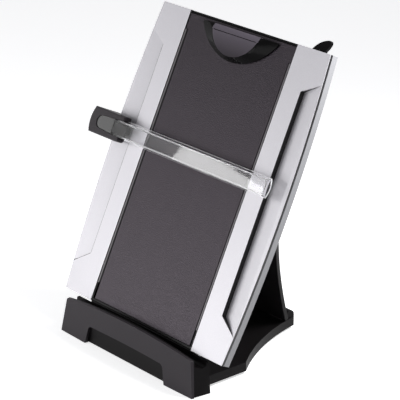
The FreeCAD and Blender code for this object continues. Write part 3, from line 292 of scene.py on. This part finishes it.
# The two wings are moulded ABS sprayed with a fine satin silver: pale, faintly pearly, with a
# grainy flake. The steps' long walls and lower ends, and the outer edge below the face, are
# painted near black without metal, as painted shade.
PANEL_TILT = math.radians(64.2)
PANEL_FOOT_Z = 0.035
FOOT_UP = PANEL_FOOT_Z * math.sin(PANEL_TILT)
FOOT_OUT = PANEL_FOOT_Z * math.cos(PANEL_TILT)
PAINT_METALLIC = 0.2
PAINT_ROUGHNESS = 0.40
# Painted shade on the wings: its roughness and its near black colour.
SHADE_ROUGHNESS = 0.3
PAINTED_SHADE_BLACK = "#0c0b0c"

up_panel = {"operation": "DOT_PRODUCT", 1: (0.0, math.cos(PANEL_TILT), math.sin(PANEL_TILT))}
out_of_panel = {
    "operation": "DOT_PRODUCT", 1: (0.0, -math.sin(PANEL_TILT), math.cos(PANEL_TILT))}

silver_paint, silver_shader, silver_place = new_material(
    "satin_silver_paint_on_abs", IOR=1.5, Specular_IOR_Level=0.4, Coat_Weight=0.15,
    Coat_Roughness=0.35)
silver_tree = silver_paint.node_tree
flake = grain(silver_paint, silver_shader, silver_place,
              size_mm=0.7, depth_mm=0.05, strength=0.12)
silver_tone = tint(silver_paint, silver_shader, flake.outputs["Fac"], "#bab8bd", "#cccacf")
wing_normal = add_node(silver_tree, "ShaderNodeTexCoord").outputs["Normal"]
facing = add_node(silver_tree, "ShaderNodeSeparateXYZ", (), {0: wing_normal})
faces_up = add_node(silver_tree, "ShaderNodeVectorMath", up_panel, {0: wing_normal})
spot = add_node(silver_tree, "ShaderNodeSeparateXYZ", (), {0: silver_place})
height_up = add_node(silver_tree, "ShaderNodeVectorMath", up_panel, {0: silver_place})
out_of_face = add_node(silver_tree, "ShaderNodeVectorMath", out_of_panel, {0: silver_place})

# Walls look sideways. Those near the board are the step's, painted dark as their shade, and the
# outer ones are painted dark only below the face, as the shade in the seam.
WALL_FACING = 0.35
STEP_REGION_X = 0.104
SEAM_SHADE_DEPTH = -0.0003

side_facing = add_node(silver_tree, "ShaderNodeMath", {"operation": "ABSOLUTE"},
                       {0: facing.outputs["X"]})
on_wall = add_node(silver_tree, "ShaderNodeMath", {"operation": "GREATER_THAN", 1: WALL_FACING},
                   {0: side_facing.outputs["Value"]})
from_middle = add_node(silver_tree, "ShaderNodeMath", {"operation": "ABSOLUTE"},
                       {0: spot.outputs["X"]})
at_step = add_node(silver_tree, "ShaderNodeMath", {"operation": "LESS_THAN", 1: STEP_REGION_X},
                   {0: from_middle.outputs["Value"]})
below_face = add_node(silver_tree, "ShaderNodeMath",
                      {"operation": "LESS_THAN", 1: FOOT_OUT + SEAM_SHADE_DEPTH},
                      {0: out_of_face.outputs["Value"]})
# Where shade is painted on the walls: at the steps, and below the face in the seam.
shade_places = add_node(silver_tree, "ShaderNodeMath", {"operation": "MAXIMUM"},
                  {0: at_step.outputs["Value"], 1: below_face.outputs["Value"]})
shaded_wall = add_node(silver_tree, "ShaderNodeMath", {"operation": "MULTIPLY"},
                     {0: on_wall.outputs["Value"], 1: shade_places.outputs["Value"]})

# The lower ends of the steps look up the panel and lie near its foot. Their shade is painted
# dark.
LOW_END_FACING = 0.2
LOW_END_TOP = 0.1

low_end = add_node(silver_tree, "ShaderNodeMath",
                   {"operation": "GREATER_THAN", 1: LOW_END_FACING},
                   {0: faces_up.outputs["Value"]})
low_part = add_node(silver_tree, "ShaderNodeMath",
                    {"operation": "LESS_THAN", 1: FOOT_UP + LOW_END_TOP},
                    {0: height_up.outputs["Value"]})
shaded_end = add_node(silver_tree, "ShaderNodeMath", {"operation": "MULTIPLY"},
                    {0: low_end.outputs["Value"], 1: low_part.outputs["Value"]})
shaded_walls = add_node(silver_tree, "ShaderNodeMath", {"operation": "MAXIMUM"},
                      {0: shaded_wall.outputs["Value"], 1: shaded_end.outputs["Value"]})

# On the left wing a thin dark line is painted along the step and along its sloping lower end:
# painted shade beside the hidden wall.
STEP_X = 0.1016
STEP_LOW = 0.043
STEP_HIGH = 0.2654
STEP_LINE_HALF = 0.0005
END_SLOPE = 0.6416
END_LINE_HALF = 0.0007

on_step_line = add_node(silver_tree, "ShaderNodeMath",
                        {"operation": "COMPARE", 1: -STEP_X, 2: STEP_LINE_HALF},
                        {0: spot.outputs["X"]})
along_step = add_node(silver_tree, "ShaderNodeMath", {
    "operation": "COMPARE",
    1: FOOT_UP + (STEP_LOW + STEP_HIGH) / 2,
    2: (STEP_HIGH - STEP_LOW) / 2}, {0: height_up.outputs["Value"]})
step_line = add_node(silver_tree, "ShaderNodeMath", {"operation": "MULTIPLY"},
                     {0: on_step_line.outputs["Value"], 1: along_step.outputs["Value"]})
end_level = add_node(silver_tree, "ShaderNodeMath", {"operation": "MULTIPLY_ADD", 1: -END_SLOPE},
                     {0: spot.outputs["X"], 2: height_up.outputs["Value"]})
on_end_line = add_node(silver_tree, "ShaderNodeMath", {
    "operation": "COMPARE",
    1: FOOT_UP + STEP_LOW + END_SLOPE * STEP_X,
    2: END_LINE_HALF}, {0: end_level.outputs["Value"]})
left_of_step = add_node(silver_tree, "ShaderNodeMath", {"operation": "LESS_THAN", 1: -STEP_X},
                        {0: spot.outputs["X"]})
end_line = add_node(silver_tree, "ShaderNodeMath", {"operation": "MULTIPLY"},
                    {0: on_end_line.outputs["Value"], 1: left_of_step.outputs["Value"]})
left_lines = add_node(silver_tree, "ShaderNodeMath", {"operation": "MAXIMUM"},
                      {0: step_line.outputs["Value"], 1: end_line.outputs["Value"]})

# Every painted shade on the wings, which the colour, metal and roughness below follow.
painted_shade = add_node(silver_tree, "ShaderNodeMath", {"operation": "MAXIMUM"},
                {0: shaded_walls.outputs["Value"], 1: left_lines.outputs["Value"]})
wing_colour = add_node(silver_tree, "ShaderNodeMix", {"data_type": "RGBA"}, {
    "Factor": painted_shade.outputs["Value"], "A": silver_tone.outputs["Result"]})
wing_colour.inputs["B"].default_value = linear(PAINTED_SHADE_BLACK)
silver_tree.links.new(wing_colour.outputs["Result"], silver_shader.inputs["Base Color"])
wing_metal = add_node(silver_tree, "ShaderNodeMapRange",
                      {"To Min": PAINT_METALLIC, "To Max": 0.0}, {"Value": painted_shade.outputs["Value"]})
silver_tree.links.new(wing_metal.outputs["Result"], silver_shader.inputs["Metallic"])
wing_rough = add_node(silver_tree, "ShaderNodeMapRange",
                      {"To Min": PAINT_ROUGHNESS, "To Max": SHADE_ROUGHNESS},
                      {"Value": painted_shade.outputs["Value"]})
silver_tree.links.new(wing_rough.outputs["Result"], silver_shader.inputs["Roughness"])
dress(silver_paint, "left_wing", "right_wing", edge_mm=0.3)


# The page clip is one moulding of the same charcoal ABS: its D-shaped face has a fine matt
# texture and its sloping sides are left polished. The face is painted paler towards the grip, a
# painted highlight on the band that faces up, and the sides are painted nearly black as shade.
CLIP_FACE_OUT = 0.0083
CLIP_LIP_UP = 0.2957
CLIP_LIP_FACING = 0.3
CLIP_FACE_HALF = 0.0335
CLIP_SHEEN_LOW = 0.272
CLIP_SHEEN_HIGH = 0.302
CLIP_MATT = 0.5
CLIP_POLISHED = 0.16
# Painted shade: the near black of the sloping sides.
CLIP_SHADE_BLACK = "#060506"

clip_black, clip_shader, clip_place = new_material(
    "polished_and_matt_charcoal_abs", IOR=1.53, Specular_IOR_Level=0.04)
clip_tree = clip_black.node_tree
grain(clip_black, clip_shader, clip_place, size_mm=0.4, depth_mm=0.06, strength=0.15)
clip_normal = add_node(clip_tree, "ShaderNodeTexCoord").outputs["Normal"]
clip_facing = add_node(clip_tree, "ShaderNodeSeparateXYZ", (), {0: clip_normal})
clip_spot = add_node(clip_tree, "ShaderNodeSeparateXYZ", (), {0: clip_place})
clip_out = add_node(clip_tree, "ShaderNodeVectorMath", out_of_panel, {0: clip_place})
clip_up = add_node(clip_tree, "ShaderNodeVectorMath", up_panel, {0: clip_place})

clip_side = add_node(clip_tree, "ShaderNodeMath", {"operation": "ABSOLUTE"},
                     {0: clip_facing.outputs["X"]})
clip_level = add_node(clip_tree, "ShaderNodeMath",
                      {"operation": "LESS_THAN", 1: CLIP_LIP_FACING},
                      {0: clip_side.outputs["Value"]})
clip_high = add_node(clip_tree, "ShaderNodeMath",
                     {"operation": "GREATER_THAN", 1: FOOT_UP + CLIP_LIP_UP},
                     {0: clip_up.outputs["Value"]})
clip_across = add_node(clip_tree, "ShaderNodeMath",
                       {"operation": "COMPARE", 1: 0.0, 2: CLIP_FACE_HALF},
                       {0: clip_spot.outputs["X"]})
clip_lip = add_node(clip_tree, "ShaderNodeMath", {"operation": "MULTIPLY"},
                    {0: clip_high.outputs["Value"], 1: clip_level.outputs["Value"]})
clip_on_lip = add_node(clip_tree, "ShaderNodeMath", {"operation": "MULTIPLY"},
                       {0: clip_lip.outputs["Value"], 1: clip_across.outputs["Value"]})
clip_on_face = add_node(clip_tree, "ShaderNodeMath",
                        {"operation": "GREATER_THAN", 1: FOOT_OUT + CLIP_FACE_OUT},
                        {0: clip_out.outputs["Value"]})
clip_face = add_node(clip_tree, "ShaderNodeMath", {"operation": "MAXIMUM"},
                     {0: clip_on_face.outputs["Value"], 1: clip_on_lip.outputs["Value"]})

# Painted highlight: the face's colour grows paler up towards the grip.
clip_painted_sheen = add_node(clip_tree, "ShaderNodeMapRange",
                    {"From Min": FOOT_UP + CLIP_SHEEN_LOW, "From Max": FOOT_UP + CLIP_SHEEN_HIGH},
                    {"Value": clip_up.outputs["Value"]})
clip_tone = tint(clip_black, clip_shader, clip_painted_sheen.outputs["Result"], "#332f33", "#67616a")
clip_colour = add_node(clip_tree, "ShaderNodeMix", {"data_type": "RGBA"}, {
    "Factor": clip_face.outputs["Value"], "B": clip_tone.outputs["Result"]})
clip_colour.inputs["A"].default_value = linear(CLIP_SHADE_BLACK)
clip_tree.links.new(clip_colour.outputs["Result"], clip_shader.inputs["Base Color"])
clip_rough = add_node(clip_tree, "ShaderNodeMapRange",
                      {"To Min": CLIP_POLISHED, "To Max": CLIP_MATT},
                      {"Value": clip_face.outputs["Value"]})
clip_tree.links.new(clip_rough.outputs["Result"], clip_shader.inputs["Roughness"])
dress(clip_black, "page_clip", edge_mm=0.5)


# The core frame, the page clip's mounts and the rear hook are polished black ABS, seen as a
# dark glossy line along the head of the panel and as the fin at its corner.
gloss_black, gloss_shader, gloss_place = new_material(
    "polished_black_abs", Roughness=0.22, IOR=1.53, Specular_IOR_Level=0.05)
gloss_ripple = grain(gloss_black, gloss_shader, gloss_place,
                     size_mm=4.0, depth_mm=0.05, strength=0.08)
tint(gloss_black, gloss_shader, gloss_ripple.outputs["Fac"], "#060506", "#0b0a0b")
dress(gloss_black, "core_frame", "page_clip_mounts", "rear_hook")


# Each board rail is an extruded black strip with a rounded crown. Its middle is painted a dull
# grey as a painted highlight, and its flanks are painted black as their shade.
RAIL_MIDDLE_X = 0.07625
RAIL_CREST_HALF = 0.0009

rail_black, rail_shader, rail_place = new_material(
    "black_abs_strip_painted_crest", Roughness=0.4, IOR=1.53, Specular_IOR_Level=0.4)
rail_tree = rail_black.node_tree
rail_spot = add_node(rail_tree, "ShaderNodeSeparateXYZ", (), {0: rail_place})
rail_from_middle = add_node(rail_tree, "ShaderNodeMath", {"operation": "ABSOLUTE"},
                            {0: rail_spot.outputs["X"]})
# Painted highlight: the grey middle of the crown; the flanks' black is painted shade.
rail_lit_crest = add_node(rail_tree, "ShaderNodeMath",
                     {"operation": "COMPARE", 1: RAIL_MIDDLE_X, 2: RAIL_CREST_HALF},
                     {0: rail_from_middle.outputs["Value"]})
tint(rail_black, rail_shader, rail_lit_crest.outputs["Value"], "#050505", "#5a565a")
dress(rail_black, "left_board_rail", "right_board_rail", edge_mm=0.3)


# The centre board is moulded black ABS with a leather grain: pebbles of about a millimetre
# with creases between them, which look charcoal with a faint warm purple. The pebbles are
# drawn at 1.6 mm, as coarse as they need to show.
PEBBLE_MM = 1.6
PEBBLE_DEPTH_MM = 0.25
PEBBLE_STRENGTH = 0.35
CREASE_SHARE = 0.25
PATCHES_PER_METRE = 55.0
PATCH_DETAIL = 5.0
PATCH_ROUGHNESS = 0.65

leather_black, board_shader, board_place = new_material(
    "leather_grained_black_abs", Roughness=0.32, IOR=1.53, Specular_IOR_Level=0.2,
    Specular_Tint=(1.0, 0.84, 1.0, 1.0))
board_tree = leather_black.node_tree
pebbles = add_node(board_tree, "ShaderNodeTexVoronoi", {
    "Scale": MM_PER_METRE / PEBBLE_MM, "feature": "DISTANCE_TO_EDGE"}, {"Vector": board_place})
pebble_top = add_node(board_tree, "ShaderNodeMapRange", {"From Max": CREASE_SHARE},
                      {"Value": pebbles.outputs["Distance"]})
board_bump = add_node(board_tree, "ShaderNodeBump",
                      {"Strength": PEBBLE_STRENGTH, "Distance": PEBBLE_DEPTH_MM / MM_PER_METRE},
                      {"Height": pebble_top.outputs["Result"]})
board_tree.links.new(board_bump.outputs["Normal"], board_shader.inputs["Normal"])
patches = add_node(board_tree, "ShaderNodeTexNoise", {
    "Scale": PATCHES_PER_METRE, "Detail": PATCH_DETAIL, "Roughness": PATCH_ROUGHNESS},
    {"Vector": board_place})
tint(leather_black, board_shader, patches.outputs["Fac"], "#110e12", "#1b171c")
dress(leather_black, "centre_board", edge_mm=0.3)


# The line guide's bar is an injection-moulded channel of clear acrylic, polished: it shows
# what lies behind it. Its corners and its back rim, left frosted by the mould, catch the light
# as bright lines. Its left end in the carrier's pocket is painted black and opaque, painted
# shade.
CORNER_FACING = 0.62
CORNER_BAND = 0.3
RIM_HEIGHT = 0.0066
POCKET_X = 0.119
POCKET_SHADE_HEIGHT = 0.0100
POCKET_DULLS = 0.22
FROSTED_THROUGH = 0.25
FROSTED_ROUGHNESS = 0.3
POLISHED_ROUGHNESS = 0.03

clear_acrylic, clear_shader, clear_place = new_material("polished_clear_acrylic", IOR=1.49)
clear_tree = clear_acrylic.node_tree
clear_normal = add_node(clear_tree, "ShaderNodeTexCoord").outputs["Normal"]
clear_facing = add_node(clear_tree, "ShaderNodeVectorMath", out_of_panel, {0: clear_normal})
clear_spot = add_node(clear_tree, "ShaderNodeSeparateXYZ", (), {0: clear_place})
clear_height = add_node(clear_tree, "ShaderNodeVectorMath", out_of_panel, {0: clear_place})

# Frosted: the rounded corners, which look halfway between out of the panel and along it, and
# the rim at the back outside the pocket.
clear_flat = add_node(clear_tree, "ShaderNodeMath", {"operation": "ABSOLUTE"},
                      {0: clear_facing.outputs["Value"]})
clear_corner = add_node(clear_tree, "ShaderNodeMath",
                        {"operation": "COMPARE", 1: CORNER_FACING, 2: CORNER_BAND},
                        {0: clear_flat.outputs["Value"]})
clear_of_pocket = add_node(clear_tree, "ShaderNodeMath",
                           {"operation": "GREATER_THAN", 1: -POCKET_X},
                           {0: clear_spot.outputs["X"]})
clear_rim = add_node(clear_tree, "ShaderNodeMath",
                     {"operation": "LESS_THAN", 1: FOOT_OUT + RIM_HEIGHT},
                     {0: clear_height.outputs["Value"]})
clear_rim_shown = add_node(clear_tree, "ShaderNodeMath", {"operation": "MULTIPLY"},
                           {0: clear_rim.outputs["Value"], 1: clear_of_pocket.outputs["Value"]})
clear_frost = add_node(clear_tree, "ShaderNodeMath", {"operation": "MAXIMUM"},
                       {0: clear_corner.outputs["Value"], 1: clear_rim_shown.outputs["Value"]})

# Painted shade: the flat faces and the back of the end that sits in the pocket.
clear_in_pocket = add_node(clear_tree, "ShaderNodeMath",
                           {"operation": "LESS_THAN", 1: -POCKET_X},
                           {0: clear_spot.outputs["X"]})
clear_back = add_node(clear_tree, "ShaderNodeMath",
                      {"operation": "LESS_THAN", 1: FOOT_OUT + POCKET_SHADE_HEIGHT},
                      {0: clear_height.outputs["Value"]})
clear_face = add_node(clear_tree, "ShaderNodeMath",
                      {"operation": "GREATER_THAN", 1: CORNER_FACING + CORNER_BAND},
                      {0: clear_flat.outputs["Value"]})
clear_behind = add_node(clear_tree, "ShaderNodeMath", {"operation": "MAXIMUM"},
                        {0: clear_face.outputs["Value"], 1: clear_back.outputs["Value"]})
clear_pocket_shade = add_node(clear_tree, "ShaderNodeMath", {"operation": "MULTIPLY"},
                       {0: clear_in_pocket.outputs["Value"], 1: clear_behind.outputs["Value"]})

# The pocket's painted shade turns the clear acrylic black and opaque there.
tint(clear_acrylic, clear_shader, clear_pocket_shade.outputs["Value"], "#fdfdfe", "#050506")
clear_through = add_node(clear_tree, "ShaderNodeMapRange",
                         {"To Min": 1.0, "To Max": FROSTED_THROUGH},
                         {"Value": clear_frost.outputs["Value"]})
clear_open = add_node(clear_tree, "ShaderNodeMath", {"operation": "SUBTRACT", "use_clamp": True},
                      {0: clear_through.outputs["Result"], 1: clear_pocket_shade.outputs["Value"]})
clear_tree.links.new(clear_open.outputs["Value"], clear_shader.inputs["Transmission Weight"])
clear_rough = add_node(clear_tree, "ShaderNodeMapRange",
                       {"To Min": POLISHED_ROUGHNESS, "To Max": FROSTED_ROUGHNESS},
                       {"Value": clear_frost.outputs["Value"]})
clear_dull = add_node(clear_tree, "ShaderNodeMath", {"operation": "MULTIPLY_ADD", 1: POCKET_DULLS},
                      {0: clear_in_pocket.outputs["Value"], 2: clear_rough.outputs["Result"]})
clear_tree.links.new(clear_dull.outputs["Value"], clear_shader.inputs["Roughness"])
grain(clear_acrylic, clear_shader, clear_place,
      size_mm=18.0, depth_mm=0.3, strength=0.06, detail=1.0)
dress(clear_acrylic, "guide_bar", edge_mm=0.6)


# The hinge rods, the page clip's pin and its spring are drawn steel, with fine marks along
# their length. Their colour is painted nearly black, painted shade for the gaps beside the
# mouldings, so that they don't shine there.
DRAWN_STRETCH = (0.05, 1.0, 1.0)

steel, steel_shader, steel_place = new_material(
    "drawn_steel_painted_dark", Metallic=1.0, Roughness=0.4)
drawn = add_node(steel.node_tree, "ShaderNodeMapping", {"Scale": DRAWN_STRETCH},
                 {"Vector": steel_place})
steel_marks = grain(steel, steel_shader, drawn.outputs["Vector"],
                    size_mm=0.4, depth_mm=0.02, strength=0.2)
# Painted shade: the steel's near black colour.
tint(steel, steel_shader, steel_marks.outputs["Fac"], "#161617", "#232324")
dress(steel, "panel_hinge_rods", "leg_hinge_rod", "page_clip_pin", "page_clip_spring", edge_mm=0)


# The screws that hold the shell, the ledge and the carrier are zinc-plated steel, driven from
# behind or below: a pale grey metal with a faint cloudy bloom.
zinc, zinc_shader, zinc_place = new_material("zinc_plated_steel", Metallic=1.0, Roughness=0.38)
zinc_bloom = grain(zinc, zinc_shader, zinc_place, size_mm=0.8, depth_mm=0.02, strength=0.15)
tint(zinc, zinc_shader, zinc_bloom.outputs["Fac"], "#9fa1a3", "#bcbdbd")
dress(zinc, "shell_screws", "ledge_screws", "carrier_screws", edge_mm=0)


# The feet, the leg's tip caps and the page clip's grip strip are soft black rubber, dull and a
# little dusty.
rubber, rubber_shader, rubber_place = new_material(
    "soft_black_rubber", Roughness=0.85, IOR=1.5)
rubber_dust = grain(rubber, rubber_shader, rubber_place,
                    size_mm=0.6, depth_mm=0.1, strength=0.3)
tint(rubber, rubber_shader, rubber_dust.outputs["Fac"], "#161616", "#242424")
dress(rubber, "rubber_feet", "leg_tip_pads", "page_clip_pad", edge_mm=0)


# The carrier's brake strip is short black felt, glued in the jaw.
felt, felt_shader, felt_place = new_material("short_black_felt", Roughness=1.0, Sheen_Weight=0.4)
felt_fibres = grain(felt, felt_shader, felt_place,
                    size_mm=0.5, depth_mm=0.3, strength=0.7, detail=4.0)
tint(felt, felt_shader, felt_fibres.outputs["Fac"], "#0d0d0e", "#262628")
dress(felt, "carrier_pad", edge_mm=0)
